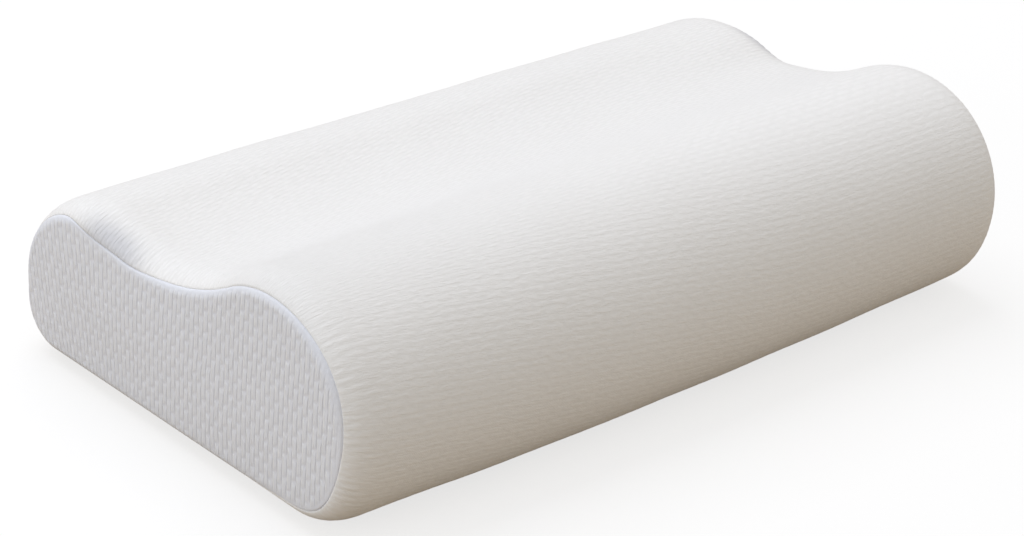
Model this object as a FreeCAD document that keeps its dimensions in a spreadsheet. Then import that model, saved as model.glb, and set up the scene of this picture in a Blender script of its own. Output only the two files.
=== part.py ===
"""Contour bed pillow: foam core, inner liner and a removable zipped knit cover.

Frame: X runs along the pillow, the high front lobe faces -Y, +Z is up, millimetres. The origin is on
the surface that the pillow lies on, under the middle of its overall box.

The cross-section is one outline of tangent arcs and lines, the same for every layer: a layer lies
inside the cover's outer surface by its own inset, so each arc keeps its centre and changes its radius.
The zip runs along the back face. Its cover, tapes, coils and slider are stacked outwards along +Y.
"""
import FreeCAD, Part
import math
import os
import re
import Sketcher

Vector = FreeCAD.Vector

# name, millimetres, meaning
DIMENSIONS = [
    # overall shape
    ("pillow_length", 500.0, "over both crowned end panels"),
    ("pillow_depth", 293.5, "front lobe to back face, without the zip slider"),
    ("front_lobe_radius", 72.5, "high lobe at the front"),
    ("front_lobe_height", 56.0, "height of the high lobe's centre"),
    ("back_lobe_radius", 58.7, "low lobe at the back"),
    ("back_lobe_height", 45.0, "height of the low lobe's centre"),
    ("valley_radius", 145.0, "hollow between the lobes"),
    ("front_corner_radius", 42.0, "under the front lobe"),
    ("back_corner_radius", 28.0, "under the back face"),
    # cover
    ("cover_thickness", 2.0, "jacquard knit"),
    ("rim_radius", 6.0, "the wrap panel turning over each end"),
    ("panel_crown", 2.0, "how far an end panel stands out of the rim"),
    ("panel_edge_radius", 1.9, "rounding of the crowned end panel"),
    ("seam_inset", 8.0, "inside the outline, where the wrap panel stops"),
    ("seam_width", 1.0, "between the wrap panel and the end panel"),
    ("seam_clear", 0.1, "each side of the seam thread"),
    ("seam_sink", 0.2, "thread below the rim"),
    # care label, a folded blank ribbon sewn into the right end's seam over the back lobe
    ("label_width", 24.0, "along the seam"),
    ("label_drop", 34.0, "hanging length"),
    ("label_thickness", 0.6, "two plies"),
    ("label_gap", 0.1, "between the label and the end panel"),
    ("label_top", 1.5, "below the crest of the end panel"),
    # liner and core
    ("layer_gap", 0.3, "between layers that only lie against each other"),
    ("liner_thickness", 1.2, "plain tricot"),
    ("core_edge_radius", 3.0, "rounding of the foam's end edges"),
    # zip
    ("zip_height", 37.5, "height of the zip's centre line"),
    ("slit_length", 424.0, "opening in the cover"),
    ("slit_width", 8.4, "between the cover's folded edges"),
    ("tape_length", 432.0, "one tape"),
    ("tape_width", 11.0, "one tape"),
    ("tape_thickness", 0.5, "one tape"),
    ("tape_gap", 0.2, "between the cover and the tape behind it"),
    ("recess_margin", 1.0, "around the tapes, where the liner and foam are pressed in"),
    ("chain_length", 412.0, "row of coils between the stops"),
    ("coil_width", 1.8, "one coil"),
    ("coil_thickness", 1.6, "one coil"),
    ("chain_split", 1.0, "between the two coils"),
    ("stop_length", 2.4, "end stops along the chain"),
    ("stop_thickness", 1.9, "end stops, standing on the tape"),
    ("stop_overhang", 0.3, "a stop is wider than its coil"),
    ("stop_gap", 0.2, "between a stop and the coil"),
    ("stitch_setback", 2.0, "from the slit to the topstitching"),
    ("stitch_width", 0.6, "topstitching thread"),
    ("stitch_height", 0.4, "topstitching thread"),
    # slider and pull tab
    ("running_gap", 0.3, "around everything that the slider passes"),
    ("slider_length", 9.5, "along the chain"),
    ("slider_width", 7.0, "across the chain"),
    ("slider_corner", 1.4, "rounded corners of both plates"),
    ("upper_plate", 1.1, "thickness"),
    ("lower_plate", 1.0, "thickness"),
    ("flange_thickness", 0.9, "side walls of the slider"),
    ("divider_width", 0.4, "post between the coils"),
    ("divider_length", 3.0, "post between the coils"),
    ("bridge_length", 5.2, "bridge that holds the pull tab, over its posts"),
    ("bridge_width", 1.6, "bridge"),
    ("bridge_thickness", 0.8, "bridge and its posts"),
    ("pivot_clear", 0.4, "around the tab's bar, under the bridge"),
    ("tab_length", 22.0, "pull tab"),
    ("tab_width", 5.0, "pull tab"),
    ("tab_thickness", 1.2, "pull tab and its bar"),
    ("tab_window", 4.0, "window behind the bar, along the tab"),
    ("tab_rail", 1.0, "sides of the window"),
    ("tab_corner", 1.6, "rounded corners of the tab"),
    ("tab_bar_radius", 0.5, "rounding of the bar's edges"),
]

# name, expression: places worked out from the sheet. Y places are counted from the pillow's middle.
LAYOUT = [
    ("skin", "0"),
    ("cavity", "cover_thickness"),
    ("mouth", "seam_inset"),
    ("thread_outer", "seam_inset + seam_clear"),
    ("thread_inner", "seam_inset + seam_width - seam_clear"),
    ("panel_inset", "seam_inset + seam_width"),
    ("liner_outer", "cover_thickness + layer_gap"),
    ("liner_inner", "liner_outer + liner_thickness"),
    ("liner_thread_outer", "liner_inner + seam_clear"),
    ("liner_thread_inner", "liner_inner + seam_width - seam_clear"),
    ("liner_end_inset", "liner_inner + seam_width"),
    ("core_inset", "liner_inner + layer_gap"),
    ("end_x", "pillow_length / 2"),
    ("rim_x", "end_x - panel_crown"),
    ("cavity_x", "rim_x - cover_thickness"),
    ("liner_x", "cavity_x - layer_gap"),
    ("core_x", "liner_x - liner_thickness - layer_gap"),
    ("zip_rise", "coil_thickness + running_gap + upper_plate + 2 * pivot_clear"
                 " + tab_thickness + bridge_thickness - cover_thickness - tape_gap"),
    ("back_y", "(pillow_depth - zip_rise) / 2"),
    ("front_y", "back_y - pillow_depth"),
    ("tape_y", "back_y - cover_thickness - tape_gap"),
    ("coil_y", "tape_y + coil_thickness"),
    ("upper_plate_y", "coil_y + running_gap + upper_plate"),
    ("lower_plate_y", "tape_y - tape_thickness - running_gap - lower_plate"),
    ("pivot_y", "upper_plate_y + pivot_clear + tab_thickness / 2"),
    ("recess_y", "lower_plate_y - running_gap"),
    ("slider_x", "(slider_length - chain_length) / 2 + running_gap"),
    ("tape_edge_z", "chain_split / 2 + tape_width"),
]

doc = FreeCAD.newDocument("contour_pillow")
sheet = doc.addObject("Spreadsheet::Sheet", "Sheet")
for row, (alias, number, meaning) in enumerate(DIMENSIONS, start=1):
    sheet.set(f"A{row}", alias)
    sheet.set(f"B{row}", str(number))
    sheet.set(f"C{row}", meaning)
    sheet.setAlias(f"B{row}", alias)
layout = doc.addObject("App::VarSet", "Layout")
doc.recompute()

SHEET_NAMES = [alias for alias, _, _ in DIMENSIONS]
LAYOUT_NAMES = [name for name, _ in LAYOUT]


def bind(item, path, expression):
    """Bind one property or constraint to an expression in the sheet's and the layout's names."""

    def full_name(match):
        word = match.group(0)
        if word in SHEET_NAMES:
            return "Sheet." + word
        return "Layout." + word if word in LAYOUT_NAMES else word

    item.setExpression(path, re.sub(r"[a-z_]+", full_name, expression))


for name, expression in LAYOUT:
    layout.addProperty("App::PropertyFloat", name)
    bind(layout, name, expression)
doc.recompute()


# ---------------------------------------------------------------- sketches and features

def new_body(label):
    body = doc.addObject("PartDesign::Body", label)
    body.Label = label
    return body


def new_sketch(body, plane_role, name):
    """A sketch on one of the body's own origin planes."""
    sketch = body.newObject("Sketcher::SketchObject", f"{body.Name}_{name}")
    plane = next(f for f in body.Origin.OriginFeatures if f.Role == plane_role)
    sketch.AttachmentSupport = [(plane, "")]
    sketch.MapMode = "FlatFace"
    return sketch


def angle_of(vector):
    return math.atan2(vector.y, vector.x)


def outline(body, name, inset_name, start_x):
    """The cross-section, drawn inside the outer surface by a named inset, on a plane at start_x.

    The valley's centre is where circles about the two lobes meet, and the front corner lies inside
    the front lobe's circle and touches it.
    """
    inset = getattr(layout, inset_name)
    lobe_r, back_r, valley_r = sheet.front_lobe_radius, sheet.back_lobe_radius, sheet.valley_radius
    corner_r, heel_r = sheet.front_corner_radius, sheet.back_corner_radius
    lobe = Vector(layout.front_y + lobe_r, sheet.front_lobe_height, 0)
    back = Vector(layout.back_y - back_r, sheet.back_lobe_height, 0)
    span = back - lobe
    along = (span.Length ** 2 + (lobe_r + valley_r) ** 2 - (back_r + valley_r) ** 2) / (2 * span.Length)
    across = math.sqrt((lobe_r + valley_r) ** 2 - along ** 2)
    unit = span / span.Length
    valley = lobe + unit * along + Vector(-unit.y, unit.x, 0) * across
    drop = lobe.y - corner_r
    corner = Vector(lobe.x - math.sqrt((lobe_r - corner_r) ** 2 - drop ** 2), corner_r, 0)
    heel = Vector(layout.back_y - heel_r, heel_r, 0)
    wall = layout.back_y - inset

    arcs = [
        (lobe, lobe_r - inset, angle_of(valley - lobe), angle_of(corner - lobe) + 2 * math.pi),
        (corner, corner_r - inset, angle_of(corner - lobe) + 2 * math.pi, 1.5 * math.pi),
        (heel, heel_r - inset, 1.5 * math.pi, 2 * math.pi),
        (back, back_r - inset, 0, angle_of(valley - back)),
        (valley, valley_r + inset, angle_of(lobe - valley), angle_of(back - valley)),
    ]
    sketch = new_sketch(body, "YZ_Plane", name)
    bind(sketch, "AttachmentOffset.Base.z", start_x)
    front, front_corner, back_heel, back_lobe, hollow = [
        sketch.addGeometry(Part.ArcOfCircle(Part.Circle(centre, Vector(0, 0, 1), radius), start, end))
        for centre, radius, start, end in arcs
    ]
    floor = sketch.addGeometry(Part.LineSegment(Vector(corner.x, inset, 0), Vector(heel.x, inset, 0)))
    rise = sketch.addGeometry(Part.LineSegment(Vector(wall, heel.y, 0), Vector(wall, back.y, 0)))

    loop = [front, front_corner, floor, back_heel, rise, back_lobe]
    for first, second in zip(loop, loop[1:]):
        sketch.addConstraint(Sketcher.Constraint("Tangent", first, 2, second, 1))
    sketch.addConstraint(Sketcher.Constraint("Tangent", back_lobe, 2, hollow, 2))
    sketch.addConstraint(Sketcher.Constraint("Tangent", hollow, 1, front, 1))
    sketch.addConstraint(Sketcher.Constraint("Horizontal", floor))
    sketch.addConstraint(Sketcher.Constraint("Vertical", rise))

    dimensions = [
        ("front_radius", ("Radius", front, lobe_r - inset), f"front_lobe_radius - {inset_name}"),
        ("front_height", ("DistanceY", -1, 1, front, 3, lobe.y), "front_lobe_height"),
        ("front_reach", ("DistanceX", front, 3, -1, 1, -lobe.x), "-front_y - front_lobe_radius"),
        ("corner_radius", ("Radius", front_corner, corner_r - inset),
         f"front_corner_radius - {inset_name}"),
        ("heel_radius", ("Radius", back_heel, heel_r - inset), f"back_corner_radius - {inset_name}"),
        ("back_radius", ("Radius", back_lobe, back_r - inset), f"back_lobe_radius - {inset_name}"),
        ("back_height", ("DistanceY", -1, 1, back_lobe, 3, back.y), "back_lobe_height"),
        ("back_reach", ("DistanceX", -1, 1, rise, 1, wall), f"back_y - {inset_name}"),
        ("valley_radius", ("Radius", hollow, valley_r + inset), f"valley_radius + {inset_name}"),
    ]
    if inset_name == "skin":
        sketch.addConstraint(Sketcher.Constraint("PointOnObject", floor, 1, -1))
    else:
        dimensions.append(("floor", ("DistanceY", -1, 1, floor, 1, inset), inset_name))
    for label, constraint, expression in dimensions:
        index = sketch.addConstraint(Sketcher.Constraint(*constraint))
        sketch.renameConstraint(index, label)
        bind(sketch, f"Constraints.{label}", expression)
    return sketch


def rectangle(body, plane_role, name, offset, centre, size):
    """A rectangle about a centre, on a plane moved along its normal: all are expressions."""
    sketch = new_sketch(body, plane_role, name)
    bind(sketch, "AttachmentOffset.Base.z", offset)
    corners = [Vector(-1, -1, 0), Vector(1, -1, 0), Vector(1, 1, 0), Vector(-1, 1, 0)]
    for first, second in zip(corners, corners[1:] + corners[:1]):
        sketch.addGeometry(Part.LineSegment(first, second))
    for side in range(4):
        sketch.addConstraint(Sketcher.Constraint("Coincident", side, 2, (side + 1) % 4, 1))
        sketch.addConstraint(Sketcher.Constraint("Horizontal" if side % 2 == 0 else "Vertical", side))
    middle = sketch.addGeometry(Part.Point(Vector(0, 0, 0)), True)
    sketch.addConstraint(Sketcher.Constraint("Symmetric", 0, 1, 1, 2, middle, 1))
    bind(sketch, "AttachmentOffset.Base.x", centre[0])
    bind(sketch, "AttachmentOffset.Base.y", centre[1])
    sketch.addConstraint(Sketcher.Constraint("Coincident", middle, 1, -1, 1))
    for label, kind, side, start, end, expression in [
        ("width", "DistanceX", 0, 1, 2, size[0]),
        ("height", "DistanceY", 1, 1, 2, size[1]),
    ]:
        index = sketch.addConstraint(Sketcher.Constraint(kind, side, start, side, end, 2))
        sketch.renameConstraint(index, label)
        bind(sketch, f"Constraints.{label}", expression)
    return sketch


def extrude(body, kind, sketch, length, reversed_way=False):
    """Pad or Pocket a sketch by an expression, and make sure that a pocket removes material."""
    before = body.Shape.Volume if body.Tip else 0.0
    feature = body.newObject(f"PartDesign::{kind}", f"{sketch.Name}_{kind.lower()}")
    feature.Profile = sketch
    feature.Reversed = reversed_way
    bind(feature, "Length", length)
    sketch.Visibility = False
    doc.recompute()
    change = body.Shape.Volume - before
    if change == 0 or (change > 0) != (kind == "Pad"):
        raise RuntimeError(f"{feature.Name} changed the volume by {change:.3f}")
    return feature


def round_edges(body, radius, chosen):
    """Fillet the edges of the body's tip that the test picks."""
    tip = body.Tip
    names = [f"Edge{i}" for i, edge in enumerate(tip.Shape.Edges, start=1) if chosen(edge)]
    fillet = body.newObject("PartDesign::Fillet", f"{body.Name}_fillet")
    fillet.Base = (tip, names)
    bind(fillet, "Radius", radius)
    doc.recompute()
    return fillet


def at_x(*places):
    """A test for edges that lie in a plane across the pillow."""

    def chosen(edge):
        return any(all(abs(v.X - place) < 0.01 for v in edge.Vertexes) for place in places)

    return chosen


# ---------------------------------------------------------------- soft layers

def slab(label, inset_name, start_x, end_x):
    """A body that fills the outline between two places along X."""
    body = new_body(label)
    extrude(body, "Pad", outline(body, "outline", inset_name, start_x), f"({end_x}) - ({start_x})")
    return body


def ring(label, outer_name, inner_name, start_x, end_x):
    """The band between two outlines, such as a seam or a sleeve."""
    body = slab(label, outer_name, start_x, end_x)
    hole = outline(body, "hole", inner_name, start_x)
    extrude(body, "Pocket", hole, f"({end_x}) - ({start_x})", reversed_way=True)
    return body


def recess(body, name, floor_y, margin):
    """Cut the place behind the zip out of a back wall, down to floor_y."""
    sketch = rectangle(body, "XZ_Plane", name, f"-({floor_y})", ("0", "zip_height"),
                       (f"tape_length + 2 * ({margin})", f"2 * (tape_edge_z + {margin})"))
    return extrude(body, "Pocket", sketch, f"back_y - ({floor_y})")


def foam_core():
    body = slab("foam_core", "core_inset", "-core_x", "core_x")
    round_edges(body, "core_edge_radius", at_x(-layout.core_x, layout.core_x))
    recess(body, "zip_recess", "recess_y - liner_thickness - layer_gap",
           "recess_margin + liner_thickness + layer_gap")


def liner_wrap():
    """A sleeve with a shallow tray in its back wall, where the zip presses it in."""
    body = ring("liner_wrap", "liner_outer", "liner_inner", "-liner_x", "liner_x")
    tray = rectangle(body, "XZ_Plane", "tray", "-(recess_y - liner_thickness)", ("0", "zip_height"),
                     ("tape_length + 2 * (recess_margin + liner_thickness)",
                      "2 * (tape_edge_z + recess_margin + liner_thickness)"))
    extrude(body, "Pad", tray, "back_y - liner_outer - liner_thickness / 2 - recess_y + liner_thickness",
            reversed_way=True)
    recess(body, "zip_recess", "recess_y", "recess_margin")


def cover_wrap():
    """The long panel: over the back lobe, the valley and the front, round under the pillow."""
    body = slab("cover_wrap", "skin", "-rim_x", "rim_x")
    round_edges(body, "rim_radius", at_x(-layout.rim_x, layout.rim_x))
    opening = outline(body, "opening", "mouth", "-rim_x")
    extrude(body, "Pocket", opening, "2 * rim_x", reversed_way=True)
    inside = outline(body, "inside", "cavity", "-cavity_x")
    extrude(body, "Pocket", inside, "2 * cavity_x", reversed_way=True)
    slit = rectangle(body, "XZ_Plane", "slit", "-(back_y - 2 * cover_thickness)", ("0", "zip_height"),
                     ("slit_length", "slit_width"))
    extrude(body, "Pocket", slit, "3 * cover_thickness")


def end_pieces():
    """End panels and seam threads of the cover and of the liner, on both ends."""
    for side, sign in (("left", -1), ("right", 1)):

        def span(inner, outer):
            return (f"-({outer})", f"-({inner})") if sign < 0 else (inner, outer)

        panel = slab(f"cover_{side}_end", "panel_inset", *span("cavity_x", "end_x"))
        round_edges(panel, "panel_edge_radius", at_x(sign * layout.end_x))
        ring(f"cover_{side}_seam", "thread_outer", "thread_inner",
             *span("cavity_x + seam_sink", "rim_x - seam_sink"))
        slab(f"liner_{side}_end", "liner_end_inset", *span("liner_x - liner_thickness", "liner_x"))
        ring(f"liner_{side}_seam", "liner_thread_outer", "liner_thread_inner",
             *span("liner_x - liner_thickness + seam_clear", "liner_x - seam_clear"))


# ---------------------------------------------------------------- label and zip

def block(label, low, size):
    """A Part::Box from its lowest corner and its size, both expressions along X, Y and Z."""
    box = doc.addObject("Part::Box", label)
    box.Label = label
    for axis, place in zip("xyz", low):
        bind(box, f"Placement.Base.{axis}", place)
    for edge, length in zip(("Length", "Width", "Height"), size):
        bind(box, edge, length)
    return box


def care_label():
    """Hangs against the right end panel from the seam over the back lobe."""
    crest = "back_lobe_height + back_lobe_radius - panel_inset - label_top"
    block("care_label",
          ("end_x + label_gap", "back_y - back_lobe_radius - label_width / 2", f"{crest} - label_drop"),
          ("label_thickness", "label_width", "label_drop"))


def join(label, pieces, kind="Part::MultiFuse"):
    whole = doc.addObject(kind, label)
    whole.Label = label
    setattr(whole, "Shapes" if kind == "Part::MultiFuse" else "Links", pieces)
    doc.recompute()
    return whole


def tapes_and_coils():
    """Two mirrored halves: a tape behind the cover's edge, its coil, and the topstitching over it."""
    for side, sign in (("upper", 1), ("lower", -1)):

        def from_centre(near, width):
            edge = near if sign > 0 else f"-({near}) - ({width})"
            return f"zip_height + {edge}"

        block(f"zip_{side}_tape",
              ("-tape_length / 2", "tape_y - tape_thickness", from_centre("chain_split / 2", "tape_width")),
              ("tape_length", "tape_thickness", "tape_width"))
        block(f"zip_{side}_coil",
              ("-chain_length / 2", "tape_y", from_centre("chain_split / 2", "coil_width")),
              ("chain_length", "coil_thickness", "coil_width"))
        block(f"zip_{side}_stitch",
              ("-slit_length / 2", "back_y",
               from_centre("slit_width / 2 + stitch_setback", "stitch_width")),
              ("slit_length", "stitch_height", "stitch_width"))


def stops():
    """Two stops past the closed end of the chain, and one across both coils at the open end."""
    tops = [
        block(f"{side}_top_stop",
              ("-chain_length / 2 - stop_gap - stop_length", "tape_y", low_z),
              ("stop_length", "stop_thickness", "coil_width + stop_overhang"))
        for side, low_z in (
            ("upper", "zip_height + chain_split / 2"),
            ("lower", "zip_height - chain_split / 2 - coil_width - stop_overhang"),
        )
    ]
    join("zip_top_stops", tops, "Part::Compound")
    half_width = "(chain_split / 2 + coil_width + stop_overhang)"
    block("zip_bottom_stop", ("chain_length / 2 + stop_gap", "tape_y", f"zip_height - {half_width}"),
          ("stop_length", "stop_thickness", f"2 * {half_width}"))


def centred(label, length, low_y, thickness, width, shift="0"):
    """A block about the slider's middle, moved across the chain by shift."""
    return block(label, (f"slider_x - ({length}) / 2", low_y, f"zip_height + ({shift}) - ({width}) / 2"),
                 (length, thickness, width))


def zip_slider():
    """Two plates joined by the divider post, side flanges, and the bridge for the pull tab."""
    flange = "(slider_width - flange_thickness) / 2"
    flange_low = "tape_y + running_gap"
    post_shift = "(bridge_length - bridge_thickness) / 2"
    bridge_rise = "2 * pivot_clear + tab_thickness"
    pieces = [
        centred("upper_plate_block", "slider_length", "upper_plate_y - upper_plate", "upper_plate",
                "slider_width"),
        centred("lower_plate_block", "slider_length", "lower_plate_y", "lower_plate", "slider_width"),
        centred("divider", "divider_length", "lower_plate_y", "upper_plate_y - lower_plate_y",
                "divider_width"),
        centred("upper_flange", "slider_length - 2 * slider_corner", flange_low,
                f"upper_plate_y - ({flange_low})", "flange_thickness", flange),
        centred("lower_flange", "slider_length - 2 * slider_corner", flange_low,
                f"upper_plate_y - ({flange_low})", "flange_thickness", f"-({flange})"),
        centred("bridge", "bridge_length", f"upper_plate_y + {bridge_rise}", "bridge_thickness",
                "bridge_width"),
    ]
    for name, sign in (("nose_post", "-"), ("tail_post", "")):
        pieces.append(block(name, (
            f"slider_x + {sign}({post_shift}) - bridge_thickness / 2", "upper_plate_y",
            "zip_height - bridge_width / 2",
        ), ("bridge_thickness", f"{bridge_rise} + bridge_thickness", "bridge_width")))
    rough = join("zip_slider_blocks", pieces)
    half_length, half_width = sheet.slider_length / 2, sheet.slider_width / 2

    def plate_corner(edge):
        point = edge.CenterOfMass
        return (abs(abs(point.x - layout.slider_x) - half_length) < 0.01
                and abs(abs(point.z - sheet.zip_height) - half_width) < 0.01)

    slider = doc.addObject("Part::Fillet", "zip_slider")
    slider.Label = "zip_slider"
    slider.Base = rough
    slider.Edges = [(number, sheet.slider_corner, sheet.slider_corner)
                    for number, edge in enumerate(rough.Shape.Edges, start=1) if plate_corner(edge)]


def zip_pull_tab():
    """A flat tab with a window: the bar before the window turns under the slider's bridge."""
    body = new_body("zip_pull_tab")
    low = "-(pivot_y - tab_thickness / 2)"
    reach = "slider_x + (tab_length - tab_thickness) / 2"
    plate = rectangle(body, "XZ_Plane", "plate", low, (reach, "zip_height"), ("tab_length", "tab_width"))
    extrude(body, "Pad", plate, "tab_thickness", reversed_way=True)
    window = rectangle(body, "XZ_Plane", "window", low,
                       ("slider_x + (tab_thickness + tab_window) / 2", "zip_height"),
                       ("tab_window", "tab_width - 2 * tab_rail"))
    extrude(body, "Pocket", window, "tab_thickness")
    half = sheet.tab_thickness / 2

    def bar_edge(edge):
        ends = [v.X - layout.slider_x for v in edge.Vertexes]
        across = abs(edge.Vertexes[0].Z - edge.Vertexes[-1].Z) > half
        return across and all(abs(abs(x) - half) < 0.01 for x in ends)

    round_edges(body, "tab_bar_radius", bar_edge)
    tip_x = layout.slider_x + sheet.tab_length - half

    def tip_corner(edge):
        return (all(abs(v.X - tip_x) < 0.01 for v in edge.Vertexes)
                and abs(edge.Vertexes[0].Y - edge.Vertexes[-1].Y) > half)

    round_edges(body, "tab_corner", tip_corner)


# ---------------------------------------------------------------- build, check and write

foam_core()
liner_wrap()
cover_wrap()
end_pieces()
care_label()
tapes_and_coils()
stops()
zip_slider()
zip_pull_tab()
doc.recompute()

NODES = ["foam_core", "liner_wrap", "cover_wrap", "care_label"]
for side in ("left", "right"):
    NODES += [f"cover_{side}_end", f"cover_{side}_seam", f"liner_{side}_end", f"liner_{side}_seam"]
for side in ("upper", "lower"):
    NODES += [f"zip_{side}_tape", f"zip_{side}_coil", f"zip_{side}_stitch"]
NODES += ["zip_top_stops", "zip_bottom_stop", "zip_slider", "zip_pull_tab"]

for item in doc.Objects:
    if "Invalid" in item.State or "Error" in item.State:
        raise RuntimeError(f"{item.Label} failed: {item.State}")
os.makedirs("parts", exist_ok=True)
for node in NODES:
    shape = doc.getObjectsByLabel(node)[0].Shape
    if shape.isNull() or not shape.isValid() or not shape.Solids:
        raise RuntimeError(f"{node} has no valid solid")
    shape.exportStep(f"parts/{node}.step")
    box = shape.BoundBox
    print(f"{node:20s} solids {len(shape.Solids)} volume {shape.Volume:12.1f} "
          f"x {box.XMin:8.2f} {box.XMax:8.2f} y {box.YMin:8.2f} {box.YMax:8.2f} "
          f"z {box.ZMin:7.2f} {box.ZMax:7.2f}")
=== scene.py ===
"""A contour memory-foam pillow in its zipped, knitted cover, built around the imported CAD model.

Lengths are in metres. +X runs along the pillow, -Y is the high front lobe, +Y the low back lobe with the
zip, and +Z is up. The cross-section is followed anticlockwise, from the middle of the zip over the back
lobe, the valley and the front lobe, then down the front and under the pillow.
"""
import math

import bmesh
import bpy
import numpy as np
from mathutils import Matrix, Vector
from mathutils.geometry import delaunay_2d_cdt


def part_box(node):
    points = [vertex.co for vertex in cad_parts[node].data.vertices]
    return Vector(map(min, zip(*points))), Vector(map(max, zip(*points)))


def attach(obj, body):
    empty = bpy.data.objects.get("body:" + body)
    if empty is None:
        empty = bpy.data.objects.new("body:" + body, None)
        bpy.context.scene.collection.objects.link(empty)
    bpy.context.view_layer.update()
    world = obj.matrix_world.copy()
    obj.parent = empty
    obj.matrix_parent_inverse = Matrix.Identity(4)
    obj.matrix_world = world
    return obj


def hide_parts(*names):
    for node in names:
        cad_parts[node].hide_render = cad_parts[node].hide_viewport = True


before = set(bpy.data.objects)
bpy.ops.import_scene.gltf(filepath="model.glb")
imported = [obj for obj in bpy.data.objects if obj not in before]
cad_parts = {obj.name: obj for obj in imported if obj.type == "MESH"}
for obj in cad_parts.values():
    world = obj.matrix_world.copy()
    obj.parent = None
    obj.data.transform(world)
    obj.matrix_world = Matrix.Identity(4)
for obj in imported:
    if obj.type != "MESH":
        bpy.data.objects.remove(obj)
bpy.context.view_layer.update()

MM = 0.001

# ---------------------------------------------------------------- sizes

WRAP_LOW, WRAP_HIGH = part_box("cover_wrap")
FRONT_Y, BACK_Y = WRAP_LOW.y, WRAP_HIGH.y
TOP_Z = WRAP_HIGH.z
PANEL_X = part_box("cover_right_end")[1].x
ZIP_LOW, ZIP_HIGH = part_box("zip_lower_coil")[0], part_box("zip_upper_coil")[1]
ZIP_Z = (ZIP_LOW.z + ZIP_HIGH.z) / 2
STITCH_LOW, STITCH_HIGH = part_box("zip_upper_stitch")
ZIP_HALF = STITCH_HIGH.x
ZIP_END = ZIP_HALF + 1 * MM
STITCH_SETBACK = (STITCH_LOW.z + STITCH_HIGH.z) / 2 - ZIP_Z
STITCH_END = ZIP_HALF + 2.4 * MM

FRONT_LOBE_RADIUS = 72.5 * MM
BACK_LOBE_RADIUS = 58.7 * MM
BACK_LOBE_HEIGHT = 45.0 * MM
VALLEY_RADIUS = 145 * MM
FRONT_CORNER_RADIUS = 46.4 * MM
BACK_CORNER_RADIUS = 32.3 * MM

COVER_THICKNESS = 2.0 * MM
LINER_THICKNESS = 1.2 * MM
LAYER_GAP = 0.3 * MM
SLIT_HALF_WIDTH = 4.2 * MM

RIM_LENGTH = 21.5 * MM        # the foam's ends are rounded this far along the pillow
RIM_DEPTH = 10.8 * MM         # and this far in from the cross-section
RIM_X = PANEL_X - RIM_LENGTH  # where the rounding starts
SEAM_ROLL = 0.8 * MM          # radius of each panel's edge where it turns down into the seam
SEAM_GAP = 0.5 * MM           # between the two panels, down in the seam
SEAM_DEPTH = 2.6 * MM
CROWN = 1.0 * MM              # how far the middle of an end stands out from its edge

ROW_PITCH = 4.3 * MM          # between rows of the knit's raised drops
END_PITCH = 3.75 * MM
DROP_PERIOD = 13.3 * MM       # from one drop to the next along a row
FRONT_LEAN = 0.15             # how far the wrap's rows lean off the pillow's length down the front
TOP_LEAN = -0.17              # and over the top
TOP_CROWDING = 1.5            # how many times closer together they are over the top
WRAP_DROP = (0.36, 1.2)       # half a drop's width as a share of the pitch, and how steep its edges are
END_DROP = (0.40, 1.8)
WRAP_RELIEF = 0.14 * MM
END_RELIEF = 0.20 * MM
FOOT_TILT = math.radians(25)
SHOULDER = 128                # middle of the slope from the back lobe, in millimetres round the outline


def smooth(t):
    t = np.clip(t, 0, 1)
    return t * t * (3 - 2 * t)


def unit(vectors):
    return vectors / np.linalg.norm(vectors, axis=-1, keepdims=True)


def bell(value, middle, width):
    """A bump of height 1 about a middle. Both sizes are in millimetres."""
    return np.exp(-((value - middle * MM) / (width * MM)) ** 2)


# ---------------------------------------------------------------- cross-section

def line_span(start, end):
    """A straight stretch as its length and a function from arc length to points and outward normals."""
    start, end = np.array(start, float), np.array(end, float)
    length = float(np.linalg.norm(end - start))
    along = (end - start) / length
    normal = np.array([along[1], -along[0]])
    return length, lambda s: (start + s[:, None] * along, np.tile(normal, (len(s), 1)))


def arc_span(centre, radius, first, last):
    """An arc between two angles. One that runs clockwise is hollow: its centre is outside the pillow."""
    centre = np.array(centre, float)
    turn = 1 if last > first else -1

    def at(s):
        angle = first + turn * s / radius
        radial = np.stack([np.cos(angle), np.sin(angle)], axis=1)
        return centre + radius * radial, turn * radial

    return radius * abs(last - first), at


def angle_of(start, end):
    return math.atan2(end[1] - start[1], end[0] - start[0])


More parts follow.
